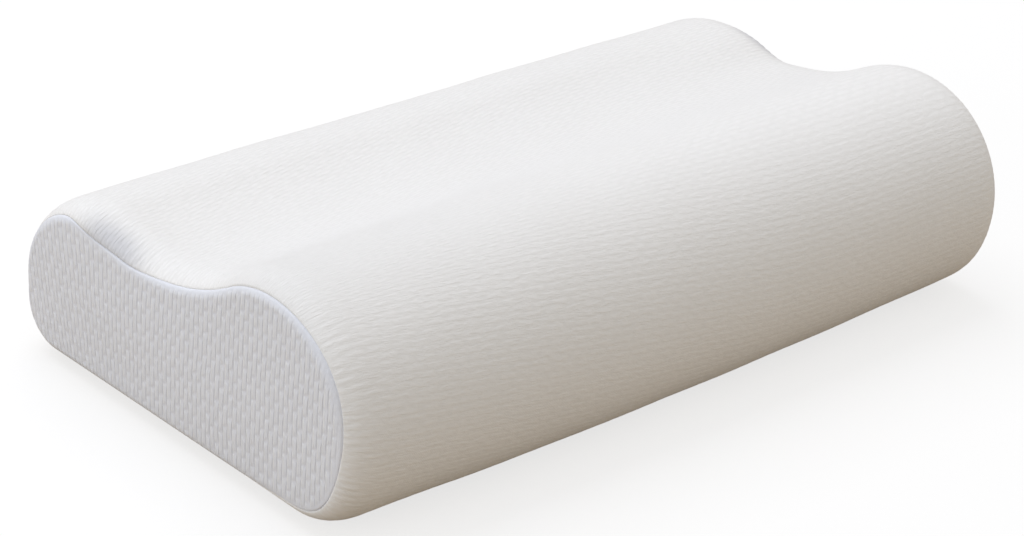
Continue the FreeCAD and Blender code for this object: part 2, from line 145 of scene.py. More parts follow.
class Outline:
    """The pillow's cross-section as tangent lines and arcs, in y and z."""

    def __init__(self):
        lobe = (FRONT_Y + FRONT_LOBE_RADIUS, TOP_Z - FRONT_LOBE_RADIUS)
        low = (BACK_Y - BACK_LOBE_RADIUS, BACK_LOBE_HEIGHT)
        valley = self.valley_centre(np.array(lobe), np.array(low))
        inner = FRONT_LOBE_RADIUS - FRONT_CORNER_RADIUS
        rise = lobe[1] - FRONT_CORNER_RADIUS
        corner = (lobe[0] - math.sqrt(inner ** 2 - rise ** 2), FRONT_CORNER_RADIUS)
        heel = (BACK_Y - BACK_CORNER_RADIUS, BACK_CORNER_RADIUS)
        to_corner = angle_of(lobe, corner) + 2 * math.pi
        self.spans = [
            line_span((BACK_Y, ZIP_Z), (BACK_Y, low[1])),
            arc_span(low, BACK_LOBE_RADIUS, 0, angle_of(low, valley)),
            arc_span(valley, VALLEY_RADIUS, angle_of(valley, low), angle_of(valley, lobe)),
            arc_span(lobe, FRONT_LOBE_RADIUS, angle_of(lobe, valley), to_corner),
            arc_span(corner, FRONT_CORNER_RADIUS, to_corner, 1.5 * math.pi),
            line_span((corner[0], 0), (heel[0], 0)),
            arc_span(heel, BACK_CORNER_RADIUS, 1.5 * math.pi, 2 * math.pi),
            line_span((BACK_Y, heel[1]), (BACK_Y, ZIP_Z)),
        ]
        self.ends = np.cumsum([length for length, _ in self.spans])
        self.starts = self.ends - [length for length, _ in self.spans]
        self.length = float(self.ends[-1])

    @staticmethod
    def valley_centre(lobe, low):
        """Where the circle of the valley sits, tangent to both lobes from above."""
        gap = low - lobe
        distance = np.linalg.norm(gap)
        along = gap / distance
        front, back = FRONT_LOBE_RADIUS + VALLEY_RADIUS, BACK_LOBE_RADIUS + VALLEY_RADIUS
        reach = (distance ** 2 + front ** 2 - back ** 2) / (2 * distance)
        height = math.sqrt(front ** 2 - reach ** 2)
        return tuple(lobe + along * reach + np.array([-along[1], along[0]]) * height)

    def at(self, s):
        """Points and outward normals at the arc lengths s."""
        s = np.mod(s, self.length)
        points, normals = np.zeros((len(s), 2)), np.zeros((len(s), 2))
        for (_, span), start, end in zip(self.spans, self.starts, self.ends):
            here = (s >= start) & (s <= end)
            points[here], normals[here] = span(s[here] - start)
        return points, normals


OUTLINE = Outline()
FLOOR_START, FLOOR_END = OUTLINE.starts[5], OUTLINE.ends[5]


def seam_angle(s):
    """Where on the rounded rim the wrap meets the end panel, from 0 at the wrap's flat to a quarter turn
    on the end's face. It lies lower under the pillow, where the panel's edge hides it, and higher round
    the foot of the front and the back lobe's shoulder."""
    s = np.mod(s, OUTLINE.length)
    points, normals = OUTLINE.at(s)
    to_foot = np.clip(-normals @ np.array([math.cos(FOOT_TILT), math.sin(FOOT_TILT)]), 0, 1)
    under = np.clip(-normals[:, 1], 0, 1) ** 2
    under = under * np.exp(-((points[:, 0] - FRONT_Y - 45 * MM) / (35 * MM)) ** 2)
    shoulder = 18 * bell(s, 108, 18) + 8 * bell(s, 142, 20)
    return np.radians(57 + 5 * normals[:, 1] + 27 * to_foot ** 4 + 22 * under + shoulder)


def belly(points, x):
    """How much slimmer the pillow is at x than at its middle, most at the foot of the front. The zip runs
    straight, so there is none beside it."""
    low_front = np.clip(0.5 + 0.5 * (-points[:, 0] / 0.150 - (points[:, 1] - 0.050) / 0.080), 0, 1)
    beside = smooth((22 * MM - np.abs(points[:, 1] - ZIP_Z)) / (10 * MM)) * (points[:, 0] > 0)
    beside = beside * smooth((234 * MM - np.abs(x)) / (14 * MM))
    return (0.40 + 3.32 * low_front) * MM * (x / PANEL_X) ** 2 * (1 - beside)


def fullness(s, x):
    """The right end of the pillow is fuller between its back lobe and its valley."""
    fuller = 3.3 * bell(s, 124, 17) - 1.3 * bell(s, 153, 12)
    return fuller * MM * smooth((x - 120 * MM) / (120 * MM))


def skin(s, x, inset=0.0):
    """Points of the cover at s round the cross-section and x along the pillow, moved in by inset."""
    points, normals = OUTLINE.at(s)
    points = points - normals * (inset + belly(points, x) - fullness(s, x))[:, None]
    return np.column_stack([np.broadcast_to(x, len(s)), points])


def rim(s, side, angle, along=0.0, down=0.0):
    """Points on the rounded rim at an end. along goes on over the rim towards the end's face, and down
    goes in from its surface."""
    tangent = np.stack([RIM_LENGTH * np.cos(angle), RIM_DEPTH * np.sin(angle)])
    tangent = tangent / np.linalg.norm(tangent, axis=0)
    x = RIM_X + RIM_LENGTH * np.sin(angle) + along * tangent[0] - down * tangent[1]
    inset = RIM_DEPTH * (1 - np.cos(angle)) + along * tangent[1] + down * tangent[0]
    return skin(s, side * x, inset)


# ---------------------------------------------------------------- knit relief

def drops(u, v, width, steep):
    """Height, 0 to 1, of the knit's raised drops at the cloth place u across the rows and v along them."""
    row = np.round(u / ROW_PITCH)
    along = v / DROP_PERIOD + 0.5 * (row % 2) + 0.07 * np.sin(2.4 * row)
    across = u / ROW_PITCH - row
    along = along - np.round(along)
    return smooth(steep * (1 - (across / (width * (1 + 0.5 * along))) ** 2)) * smooth(2 - 4 * np.abs(along))


def waves(u, v, seed, length, count=7):
    """A smooth, uneven field of about -1 to 1, made of waves of about that length."""
    rng = np.random.default_rng(seed)
    total = np.zeros(np.shape(u))
    for _ in range(count):
        turn, phase = rng.uniform(0, 2 * math.pi, 2)
        wave = length * rng.uniform(0.7, 1.5)
        total = total + np.sin(2 * math.pi * (u * math.cos(turn) + v * math.sin(turn)) / wave + phase)
    return np.tanh(total / math.sqrt(count))


def before_front(s):
    """1 as far as the front lobe, then fading to 0 down the front."""
    return smooth((315 * MM - s) / (110 * MM))


def over_top(s):
    """1 over the lobes and the valley, 0 down the front, underneath and beside the zip."""
    s = np.mod(s, OUTLINE.length)
    return smooth((s - 15 * MM) / (45 * MM)) * before_front(s)


def turned(s):
    """1 where the wrap's rows lean as they do over the top, 0 down the front. It changes slowly, over
    the front lobe and underneath, so that the rows fan out without crossing."""
    s = np.mod(s, OUTLINE.length)
    return np.maximum(before_front(s), smooth((s - 460 * MM) / (265 * MM)))


def cloth_place(s, x):
    """Cloth place of the wrap. Its rows fan out from the left end: over the top they are closer together
    and lean the other way."""
    steps = np.linspace(-OUTLINE.length, 2 * OUTLINE.length, 3001)
    crowding = 1 + (TOP_CROWDING - 1) * over_top(steps)
    rows = np.concatenate([[0], np.cumsum((crowding[1:] + crowding[:-1]) / 2 * np.diff(steps))])
    lean = FRONT_LEAN + (TOP_LEAN * TOP_CROWDING - FRONT_LEAN) * turned(s)
    reach = np.where(x > 0, 90 * MM * np.tanh(x / (90 * MM)), x)
    return np.interp(s, steps, rows) - reach * lean, x + 0.15 * s


# ---------------------------------------------------------------- mesh helpers

def placed(name, data):
    made = bpy.data.objects.new(name, data)
    bpy.context.scene.collection.objects.link(made)
    return made


def new_object(name, points, faces, material, cloth=None):
    mesh = bpy.data.meshes.new(name)
    mesh.from_pydata(np.asarray(points, float).tolist(), [], faces)
    if cloth is not None:
        domain = "POINT" if len(cloth) == len(points) else "CORNER"
        attribute = mesh.attributes.new("cloth", "FLOAT_VECTOR", domain)
        attribute.data.foreach_set("vector", np.asarray(cloth, np.float32).ravel())
    mesh.materials.append(material)
    mesh.update()
    mesh.shade_smooth()
    return placed(name, mesh)


def stand_in(piece, body, node):
    """Puts a piece in the place of a CAD node."""
    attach(piece, body)
    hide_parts(node)


def face_outwards(piece):
    """Makes the normals of a closed mesh point out."""
    work = bmesh.new()
    work.from_mesh(piece.data)
    bmesh.ops.recalc_face_normals(work, faces=work.faces)
    work.to_mesh(piece.data)
    work.free()
    piece.data.update()


def grid_normals(grid, closed):
    """Unit normals of a grid of points; closed grids join their last row to the first."""
    if closed:
        down = np.roll(grid, -1, axis=0) - np.roll(grid, 1, axis=0)
    else:
        down = np.gradient(grid, axis=0)
    across = np.gradient(grid, axis=1)
    return unit(np.cross(down, across))


def cells(marks, sizes, parts):
    """Places from mark to mark: each stretch is cut into whole cells of about its size, each into parts."""
    places = [marks[0]]
    for start, end, size in zip(marks, marks[1:], sizes):
        count = max(1, round((end - start) / size)) * parts
        places.extend(np.linspace(start, end, count + 1)[1:])
    return np.array(places)


def shell(name, outer, inner, row_parts, column_parts, open_cells, material, cloth):
    """A closed sheet of cloth. outer is a fine grid of points and inner has one for every row_parts-th row
    and column_parts-th column of it. Both end with their first row again, where cloth has gone on one
    turn. open_cells(row, column) says which of inner's cells are left open."""
    rows, columns = outer.shape[:2]
    coarse_rows, coarse_columns = inner.shape[0] - 1, inner.shape[1]
    first_inner = rows * columns

    def fine(row, column):
        return row * columns + column

    def coarse(row, column):
        return first_inner + row * coarse_columns + column

    def strip(a, b):
        """The strip between the two layers along the edge from one inner point to another."""
        down, right = b[0] - a[0], b[1] - a[1]
        count = row_parts if down else column_parts
        edge = [fine(a[0] * row_parts + down * k, a[1] * column_parts + right * k) for k in range(count + 1)]
        return [coarse(*b), coarse(*a)] + edge

    def is_open(row, column):
        return not 0 <= column < coarse_columns - 1 or open_cells(row % coarse_rows, column)

    faces = []
    for row in range(coarse_rows):
        for column in range(coarse_columns - 1):
            if is_open(row, column):
                continue
            faces.append((coarse(row, column), coarse(row + 1, column), coarse(row + 1, column + 1),
                          coarse(row, column + 1)))
            for i in range(row * row_parts, (row + 1) * row_parts):
                for j in range(column * column_parts, (column + 1) * column_parts):
                    faces.append((fine(i, j), fine(i, j + 1), fine(i + 1, j + 1), fine(i + 1, j)))
            if is_open(row, column - 1):
                faces.append(strip((row + 1, column), (row, column)))
            if is_open(row, column + 1):
                faces.append(strip((row, column + 1), (row + 1, column + 1)))
            if is_open(row - 1, column):
                faces.append(strip((row, column), (row, column + 1)))
            if is_open(row + 1, column):
                faces.append(strip((row + 1, column + 1), (row + 1, column)))
    points = np.vstack([outer.reshape(-1, 3), inner.reshape(-1, 3)])
    places = np.vstack([cloth.reshape(-1, 3), cloth[::row_parts, ::column_parts].reshape(-1, 3)])
    corners = places[[corner for face in faces for corner in face]]
    same = np.arange(len(points))
    same[first_inner - columns:first_inner] = np.arange(columns)
    same[-coarse_columns:] = first_inner + np.arange(coarse_columns)
    used = np.zeros(len(points), bool)
    for face in faces:
        used[same[list(face)]] = True
    renumber = np.cumsum(used) - 1
    faces = [tuple(renumber[same[list(face)]].tolist()) for face in faces]
    piece = new_object(name, points[used], faces, material, corners)
    face_outwards(piece)
    return piece


class Parts:
    """Points and faces of one piece, gathered from closed forms."""

    def __init__(self):
        self.points, self.faces, self.count = [], [], 0

    def add(self, points, faces):
        points = np.asarray(points, float).reshape(-1, 3)
        self.faces.extend(tuple(int(i) + self.count for i in face) for face in faces)
        self.points.append(points)
        self.count += len(points)

    def tube(self, path, radii, up, sides=6, squash=1.0, closed=False):
        """A tube along a path, squashed along up. An open one has flat ends."""
        path = np.asarray(path, float)
        if closed:
            ahead = np.roll(path, -1, axis=0) - np.roll(path, 1, axis=0)
        else:
            ahead = np.gradient(path, axis=0)
        ahead = unit(ahead)
        across = unit(np.cross(ahead, np.broadcast_to(up, path.shape)))
        above = np.cross(across, ahead)
        turn = np.arange(sides) * 2 * math.pi / sides
        ring = np.cos(turn)[:, None] * across[:, None] + squash * np.sin(turn)[:, None] * above[:, None]
        points = path[:, None] + np.broadcast_to(radii, len(path))[:, None, None] * ring
        faces = grid_faces(len(path), sides, closed, True)
        if not closed:
            last = (len(path) - 1) * sides
            faces += [tuple(range(sides)), tuple(range(last, last + sides))]
        self.add(points, faces)

    def slab(self, outer, inner, closed=False):
        """The sheet between two grids of points. A closed one joins its last row to the first."""
        rows, columns = outer.shape[:2]
        far = rows * columns
        faces = grid_faces(rows, columns, closed)
        faces += [tuple(far + i for i in face[::-1]) for face in faces]
        first = [i * columns for i in range(rows)]
        borders = [first, [i + columns - 1 for i in first]]
        if closed:
            borders = [border + border[:1] for border in borders]
        else:
            borders += [list(range(columns)), list(range(far - columns, far))]
        for border in borders:
            faces += [(a, b, far + b, far + a) for a, b in zip(border, border[1:])]
        self.add(np.concatenate([outer.reshape(-1, 3), inner.reshape(-1, 3)]), faces)

    def stitches(self, place, length, pitch, stitch, radius, up):
        """Separate stitches along a seam line. place(distance, depth) gives points on it."""
        count = int(length / pitch)
        for k in range(count):
            along = (k + 0.5) * length / count + np.array([-0.5, -0.42, -0.2, 0.2, 0.42, 0.5]) * stitch
            depth = np.array([0.8, 0.25, 0.08, 0.08, 0.25, 0.8]) * MM
            self.tube(place(along, depth), radius * np.array([0.7, 0.95, 1, 1, 0.95, 0.7]), up)

    def block(self, low, high, radius):
        """A box with rounded edges, between two corners in millimetres."""
        work = bmesh.new()
        bmesh.ops.create_cube(work, size=1)
        for vertex in work.verts:
            vertex.co = [a + (0.5 + c) * (b - a) for a, b, c in zip(low, high, vertex.co)]
        bmesh.ops.bevel(work, geom=work.edges[:], offset=radius, segments=3, profile=0.5, affect="EDGES")
        self.take(work)

    def plate(self, outlines, low, high, bevel):
        """A plate with rounded edges, cut to closed outlines in x and z, the later ones its holes, and
        lying from low to high in y. All are in millimetres."""
        data = bpy.data.curves.new("cut", "CURVE")
        data.dimensions, data.fill_mode = "2D", "BOTH"
        data.extrude = (high - low) / 2 - bevel
        data.bevel_depth, data.bevel_resolution, data.offset = bevel, 2, -bevel
        for outline in outlines:
            spline = data.splines.new("POLY")
            spline.points.add(len(outline) - 1)
            spline.use_cyclic_u = True
            for point, (x, z) in zip(spline.points, outline):
                point.co = (x, z, 0, 1)
        holder = bpy.data.objects.new("cut", data)
        mesh = bpy.data.meshes.new_from_object(holder)
        work = bmesh.new()
        work.from_mesh(mesh)
        bmesh.ops.remove_doubles(work, verts=work.verts, dist=0.002)
        for vertex in work.verts:
            vertex.co = (vertex.co.x, (low + high) / 2 + vertex.co.z, vertex.co.y)
        self.take(work)
        bpy.data.objects.remove(holder)
        bpy.data.curves.remove(data)
        bpy.data.meshes.remove(mesh)

    def take(self, work):
        """Adds a bmesh that is in millimetres, and frees it."""
        work.verts.index_update()
        points = [tuple(c * MM for c in vertex.co) for vertex in work.verts]
        self.add(points, [[vertex.index for vertex in face.verts] for face in work.faces])
        work.free()

    def finish(self, name, material, body, node):
        piece = new_object(name, np.vstack(self.points), self.faces, material)
        face_outwards(piece)
        piece.data.set_sharp_from_angle(angle=math.radians(50))
        stand_in(piece, body, node)
        return piece


def grid_faces(rows, columns, rows_closed, columns_closed=False):
    faces = []
    for i in range(rows if rows_closed else rows - 1):
        here, below = i * columns, (i + 1) % rows * columns
        for j in range(columns if columns_closed else columns - 1):
            beside = (j + 1) % columns
            faces.append((here + j, here + beside, below + beside, below + j))
    return faces


def rounded_outline(corners):
    """A closed outline through corners (x, z, radius), each rounded by its radius."""
    points = []
    for i, (x, z, radius) in enumerate(corners):
        here = np.array([x, z], float)
        before = np.array(corners[i - 1][:2]) - here
        after = np.array(corners[(i + 1) % len(corners)][:2]) - here
        before, after = before / np.linalg.norm(before), after / np.linalg.norm(after)
        half = math.acos(float(np.clip(before @ after, -1, 1))) / 2
        middle = (before + after) / np.linalg.norm(before + after)
        centre = here + middle * radius / math.sin(half)
        start = here + before * radius / math.tan(half) - centre
        end = here + after * radius / math.tan(half) - centre
        first = math.atan2(start[1], start[0])
        sweep = (math.atan2(end[1], end[0]) - first + math.pi) % (2 * math.pi) - math.pi
        for turn in first + sweep * np.linspace(0, 1, 7):
            points.append((centre[0] + radius * math.cos(turn), centre[1] + radius * math.sin(turn)))
    return points


# ---------------------------------------------------------------- materials

class Nodes:
    """A new material's node tree, with short ways to add to it."""

    def __init__(self, name, colour, roughness, **settings):
        self.material = bpy.data.materials.new(name)
        self.material.use_nodes = True
        self.tree = self.material.node_tree
        self.shader = self.tree.nodes["Principled BSDF"]
        self.shader.inputs["Base Color"].default_value = (*colour, 1)
        self.shader.inputs["Roughness"].default_value = roughness
        for key, value in settings.items():
            self.shader.inputs[key.replace("_", " ").title().replace("Ior", "IOR")].default_value = value

    def node(self, kind, inputs=(), **properties):
        made = self.tree.nodes.new(kind)
        for key, value in properties.items():
            setattr(made, key, value)
        for key, value in dict(inputs).items():
            self.join(value, made.inputs[key])
        return made

    def paint(self, socket, value):
        self.join(value, self.shader.inputs[socket])

    def join(self, value, socket):
        if isinstance(value, bpy.types.NodeSocket):
            self.tree.links.new(value, socket)
        else:
            socket.default_value = value

    def math(self, operation, first, second=0.0, third=0.0):
        inputs = {0: first, 1: second, 2: third}
        return self.node("ShaderNodeMath", inputs, operation=operation).outputs[0]

    def cloth(self):
        """The cloth place, u across the rows and v along them, and how freely its drops stand up; past 1.25
        it paints shade.
        """
        place = self.node("ShaderNodeAttribute", attribute_name="cloth").outputs["Vector"]
        split = self.node("ShaderNodeSeparateXYZ", {0: place})
        return [split.outputs[axis] for axis in "XYZ"]

    def place(self):
        return self.node("ShaderNodeTexCoord").outputs["Object"]

    def noise(self, scale, detail=3.0, roughness=0.5):
        inputs = {"Vector": self.place(), "Scale": scale, "Detail": detail, "Roughness": roughness}
        return self.node("ShaderNodeTexNoise", inputs).outputs["Fac"]

    def mix(self, share, first, second):
        """A colour between two, by share."""
        made = self.node("ShaderNodeMix", data_type="RGBA")
        self.join(share, made.inputs["Factor"])
        self.join((*first, 1) if isinstance(first, tuple) else first, made.inputs[6])
        self.join((*second, 1) if isinstance(second, tuple) else second, made.inputs[7])
        return made.outputs[2]

    def bump(self, height, distance, before=None):
        inputs = {"Height": height, "Distance": distance, "Strength": 1.0}
        if before is not None:
            inputs["Normal"] = before
        return self.node("ShaderNodeBump", inputs).outputs[0]

    def lattice(self, u, v):
        """Where a cloth place is in its drop: across it and along it, each from -0.5 to 0.5."""
        across = self.math("DIVIDE", u, ROW_PITCH)
        row = self.math("ROUND", across)
        odd = self.math("FLOORED_MODULO", row, 2.0)
        along = self.math("MULTIPLY_ADD", odd, 0.5, self.math("DIVIDE", v, DROP_PERIOD))
        along = self.math("MULTIPLY_ADD", self.math("SINE", self.math("MULTIPLY", row, 2.4)), 0.07, along)
        return self.math("SUBTRACT", across, row), self.math("SUBTRACT", along, self.math("ROUND", along))

    def ramp(self, value, low, high):
        """Smoothly from 0 where value is low to 1 where it is high."""
        inputs = {"Value": value, "From Min": low, "From Max": high, "To Min": 0.0, "To Max": 1.0}
        return self.node("ShaderNodeMapRange", inputs, interpolation_type="SMOOTHSTEP").outputs[0]

    def drops(self, across, along, width, steep):
        """The same raised drops as the mesh has, so that they stay crisp between its points."""
        reach = self.math("MULTIPLY_ADD", along, 0.5 * width, width)
        side = self.math("POWER", self.math("ABSOLUTE", self.math("DIVIDE", across, reach)), 2.0)
        body = self.ramp(side, 1.0, 1 - 1 / steep)
        return self.math("MULTIPLY", body, self.ramp(self.math("ABSOLUTE", along), 0.5, 0.25))

    def line(self, across, along, place, half):
        """A fine line along the drops, at that place across them."""
        off = self.math("ABSOLUTE", self.math("SUBTRACT", across, place))
        body = self.ramp(off, half, half / 4)
        return self.math("MULTIPLY", body, self.ramp(self.math("ABSOLUTE", along), 0.49, 0.36))

    def grain(self, u, v, across, along):
        """Uneven dashes that follow the rows."""
        place = {0: self.math("DIVIDE", u, across), 1: self.math("DIVIDE", v, along)}
        place = self.node("ShaderNodeCombineXYZ", place).outputs[0]
        inputs = {"Vector": place, "Scale": 1.0, "Detail": 2.0, "Roughness": 0.5}
        return self.ramp(self.node("ShaderNodeTexNoise", inputs).outputs["Fac"], 0.35, 0.68)

    def stitches(self, u, v, wale, course):
        """Fine knitted loops: columns one wale apart, rows one course apart."""
        column = self.math("SINE", self.math("MULTIPLY", u, 2 * math.pi / wale))
        row = self.math("SINE", self.math("MULTIPLY", v, 2 * math.pi / course))
        return self.math("MULTIPLY_ADD", self.math("MULTIPLY", column, row), 0.5, 0.5)


def knit_material(name, colour, shade, drop, drop_bump, edges=0.0):
    """Jacquard knit: raised drops on fine loops. shade is the ground between the drops, and edges how
    strongly a painted highlight along a raised ridge marks one edge of each drop and a painted shadow
    the other. Where the cloth is pulled hard over the back lobe's shoulder, flow passes 1.25 and the
    colour falls to a grey-lilac there: painted shade."""
    n = Nodes(name, colour, 0.85, sheen_weight=0.25, sheen_roughness=0.5, specular_ior_level=0.2)
    u, v, flow = n.cloth()
    across, along = n.lattice(u, v)
    raised = n.math("MULTIPLY", n.drops(across, along, *drop), flow)
    fine = n.stitches(u, v, 0.75 * MM, 0.95 * MM)
    grain = n.grain(u, v, 1.5 * MM, 5.5 * MM)
    tone = n.math("MULTIPLY_ADD", grain, 0.4, n.math("MULTIPLY", raised, 0.6))
    # Painted shade: where flow passes 1.25, by the seams on the back lobe's shoulder, the colour falls to a
    # grey-lilac.
    paint = n.mix(n.ramp(flow, 1.25, 2.3), n.mix(tone, shade, colour), (0.68, 0.685, 0.715))
    height = raised
    if edges:
        # Painted light: a pale line on one edge of each drop, which is also raised as a ridge in the bump, is
        # a painted highlight, and a dark line on the other edge is a painted shadow.
        ridge_and_highlight = n.math("MULTIPLY", n.line(across, along, 0.30, 0.19), flow)
        painted_edge_shadow = n.math("MULTIPLY", n.line(across, along, -0.44, 0.15), flow)
        paint = n.mix(n.math("MULTIPLY", ridge_and_highlight, edges), paint, (0.94, 0.965, 1.0))
        paint = n.mix(n.math("MULTIPLY", painted_edge_shadow, 0.5 * edges), paint, tuple(0.72 * c for c in shade))
        height = n.math("ADD", raised, ridge_and_highlight)
    n.paint("Base Color", paint)
    n.paint("Roughness", n.math("MULTIPLY_ADD", raised, -0.08, 0.88))
    first = n.bump(height, drop_bump)
    second = n.bump(fine, 0.06 * MM, first)
    n.paint("Normal", n.bump(grain, 0.09 * MM, second))
    return n.material


def plain_material(name, colour, roughness, **settings):
    n = Nodes(name, colour, roughness, **settings)
    shade = tuple(0.86 * c for c in colour)
    n.paint("Base Color", n.mix(n.noise(60.0), shade, colour))
    n.paint("Normal", n.bump(n.noise(1500.0, 2.0), 0.04 * MM))
    return n.material


WRAP_KNIT = knit_material("wrap_knit", (0.94, 0.935, 0.93), (0.885, 0.88, 0.872), WRAP_DROP, 0.10 * MM)
# The end panels' drops have a painted highlight on one edge and a painted shadow on the other.
END_KNIT = knit_material("end_knit", (0.865, 0.89, 0.955), (0.81, 0.835, 0.905), END_DROP, 0.18 * MM,
                         edges=1.0)
THREAD = plain_material("sewing_thread", (0.80, 0.81, 0.83), 0.7, sheen_weight=0.2)


def woven_material(name, colour, roughness, pitch, height, **settings):
    """Plain weave along x, y and z, for the zip's tapes, the label and the liner."""
    n = Nodes(name, colour, roughness, **settings)
    place = n.place()
    split = n.node("ShaderNodeSeparateXYZ", {0: place})
    x, y, z = (split.outputs[axis] for axis in "XYZ")
    weave = n.stitches(n.math("ADD", x, y), n.math("SUBTRACT", z, n.math("MULTIPLY", y, 0.5)), pitch, pitch)
    shade = tuple(0.90 * c for c in colour)
    tone = n.math("MULTIPLY_ADD", weave, 0.5, n.math("MULTIPLY", n.noise(40.0), 0.5))
    n.paint("Base Color", n.mix(tone, shade, colour))
    n.paint("Normal", n.bump(weave, height))
    return n.material


def foam_material():
    """Open-celled foam behind a thin moulded skin."""
    n = Nodes("memory_foam", (0.88, 0.84, 0.70), 0.9, specular_ior_level=0.2)
    place = n.place()
    pores = n.node("ShaderNodeTexVoronoi", {"Vector": place, "Scale": 700.0}).outputs["Distance"]
    wide = n.node("ShaderNodeTexVoronoi", {"Vector": place, "Scale": 190.0}).outputs["Distance"]
    open_cell = n.ramp(wide, 0.30, 0.12)
    n.paint("Base Color", n.mix(n.noise(9.0), (0.84, 0.79, 0.62), (0.90, 0.87, 0.74)))
    first = n.bump(pores, 0.25 * MM)
    n.paint("Normal", n.bump(n.math("SUBTRACT", 1.0, open_cell), 0.3 * MM, first))
    return n.material


def enamel_material():
    """Off-white enamel on die-cast zinc, rubbed a little duller here and there."""
    n = Nodes("zip_metal", (0.79, 0.77, 0.71), 0.3)
    worn = n.noise(180.0, 5.0, 0.6)
    n.paint("Base Color", n.mix(worn, (0.76, 0.74, 0.68), (0.81, 0.79, 0.73)))
    n.paint("Roughness", n.math("MULTIPLY_ADD", worn, 0.25, 0.20))
    n.paint("Normal", n.bump(n.noise(2500.0, 3.0), 0.01 * MM))
    return n.material


TAPE = woven_material("zip_tape", (0.84, 0.83, 0.80), 0.85, 0.7 * MM, 0.08 * MM, sheen_weight=0.2)
LABEL = woven_material("label_satin", (0.90, 0.90, 0.89), 0.42, 0.3 * MM, 0.02 * MM, sheen_weight=0.3)
TRICOT = woven_material("liner_tricot", (0.86, 0.86, 0.85), 0.8, 1.1 * MM, 0.08 * MM, sheen_weight=0.15)
COIL = plain_material("zip_coil", (0.82, 0.81, 0.78), 0.38)
FOAM = foam_material()
METAL = enamel_material()


# ---------------------------------------------------------------- cover

def wrap_rim(s, side):
    """Columns of the wrap from where its rim starts down into the seam."""
    angle = seam_angle(s)
    columns = [rim(s, side, angle * share) for share in np.linspace(0, 1, 13)[1:]]
    for turn in np.radians([30, 60, 90]):
        columns.append(rim(s, side, angle, SEAM_ROLL * math.sin(turn), SEAM_ROLL * (1 - math.cos(turn))))
    columns.append(rim(s, side, angle, SEAM_ROLL, SEAM_DEPTH))
    return columns


def pull(s, x):
    """How hard the wrap is pulled over the back lobe's shoulder into the seams, 0 to 1. It makes the drops
    stand higher there and paints shade there.
    """
    away = np.clip(RIM_X + RIM_LENGTH - np.abs(x), 0, 1)
    return bell(away, 0, 12) * bell(s, SHOULDER, 26)


def pucker(s, x):
    """Small gathers where the wrap is sewn to an end panel, fading away from the seam. They are strongest
    on the left end's slope into the valley, where the wrap swells a little before it turns down."""
    away = np.clip(RIM_X + RIM_LENGTH - np.abs(x), 0, 1)
    side = np.sign(x)
    slope = bell(s, 150, 26) * (x < 0)
    phase = 2 * math.pi * s / (5 * MM) + 2.5 * waves(s, side * 0.3, 5, 60 * MM)
    strength = 0.10 + 0.10 * waves(s, side * 0.5, 6, 90 * MM) + 0.35 * slope
    swell = bell(away, 19, 11) * bell(s, SHOULDER, 24) * (x < 0)
    return MM * (np.cos(phase) * strength * np.exp(-away / (12 * MM)) + 2.0 * swell)


def cover_wrap():
    row_parts, column_parts = 8, 4
    marks = [-SLIT_HALF_WIDTH, SLIT_HALF_WIDTH, FLOOR_START + 10 * MM, FLOOR_END - 5 * MM,
             OUTLINE.length - SLIT_HALF_WIDTH]
    s = cells(marks, [8.4 * MM, 8.4 * MM, 34 * MM, 8.4 * MM], row_parts)[:-1]
    flat = cells([-RIM_X, -ZIP_HALF, ZIP_HALF, RIM_X], [13.3 * MM] * 3, column_parts)
    columns = wrap_rim(s, -1)[::-1] + [skin(s, x) for x in flat] + wrap_rim(s, 1)
    grid = np.stack(columns, axis=1)
    normals = grid_normals(grid, closed=True)

    S = np.repeat(s[:, None], grid.shape[1], axis=1)
    step = np.linalg.norm(np.diff(grid, axis=1), axis=2)
    X = np.concatenate([np.zeros((len(s), 1)), np.cumsum(step, axis=1)], axis=1)
    X -= X[:, len(columns) // 2][:, None]
    u, v = cloth_place(S, X)
    on_floor = smooth((S - FLOOR_START + 20 * MM) / (30 * MM)) * smooth((FLOOR_END + 12 * MM - S) / (20 * MM))
    taut = smooth((X[:, -4:-3] - np.abs(X)) / (2 * MM))
    from_zip = np.abs(np.mod(S + 0.1, OUTLINE.length) - 0.1)
    free = (1 - on_floor) * smooth((np.maximum(from_zip, np.abs(X) - ZIP_HALF) - STITCH_SETBACK) / (9 * MM))
    # pull adds to flow, which raises the drops and, past 1.25, paints shade by the seams on the shoulder.
    flow = 0.42 + 0.78 * over_top(S) + 1.2 * pull(S, grid[:, :, 0])
    relief = WRAP_RELIEF * drops(u, v, *WRAP_DROP) * (0.5 - 0.1 * over_top(S))
    height = relief * taut * (0.25 + 0.75 * free) * (1 - on_floor)
    height += pucker(S, grid[:, :, 0]) * taut * free
    height += 0.45 * MM * waves(S, X, 3, 120 * MM) * free
    from_slit = np.maximum(from_zip - SLIT_HALF_WIDTH, np.abs(X) - ZIP_HALF)
    height -= 1.1 * MM * (1 - smooth(from_slit / (1.6 * MM)))
    from_row = np.maximum(np.abs(from_zip - STITCH_SETBACK), np.abs(X) - STITCH_END)
    height -= 0.35 * MM * bell(np.clip(from_row, 0, 1), 0, 0.9)
    inner = (grid - normals * COVER_THICKNESS)[::row_parts, ::column_parts]
    grid = grid + normals * height[:, :, None]
    grid[:, :, 2] = np.maximum(grid[:, :, 2], 0)

    cloth = np.stack([u, v, flow], axis=2)
    once, again = cloth_place(np.array([0, OUTLINE.length]), 0.0)
    turn = cloth[:1] + np.array([once[1] - once[0], again[1] - again[0], 0])
    grid, inner, cloth = np.vstack([grid, grid[:1]]), np.vstack([inner, inner[:1]]), np.vstack([cloth, turn])
    inner_x = inner[0, :, 0]
    slit = [k for k in range(len(inner_x) - 1) if np.all(np.abs(inner_x[k:k + 2]) < ZIP_END)]
    piece = shell("cover_wrap_panel", grid, inner, row_parts, column_parts,
                  lambda row, column: row == 0 and column in slit, WRAP_KNIT, cloth)
    stand_in(piece, "pillow", "cover_wrap")


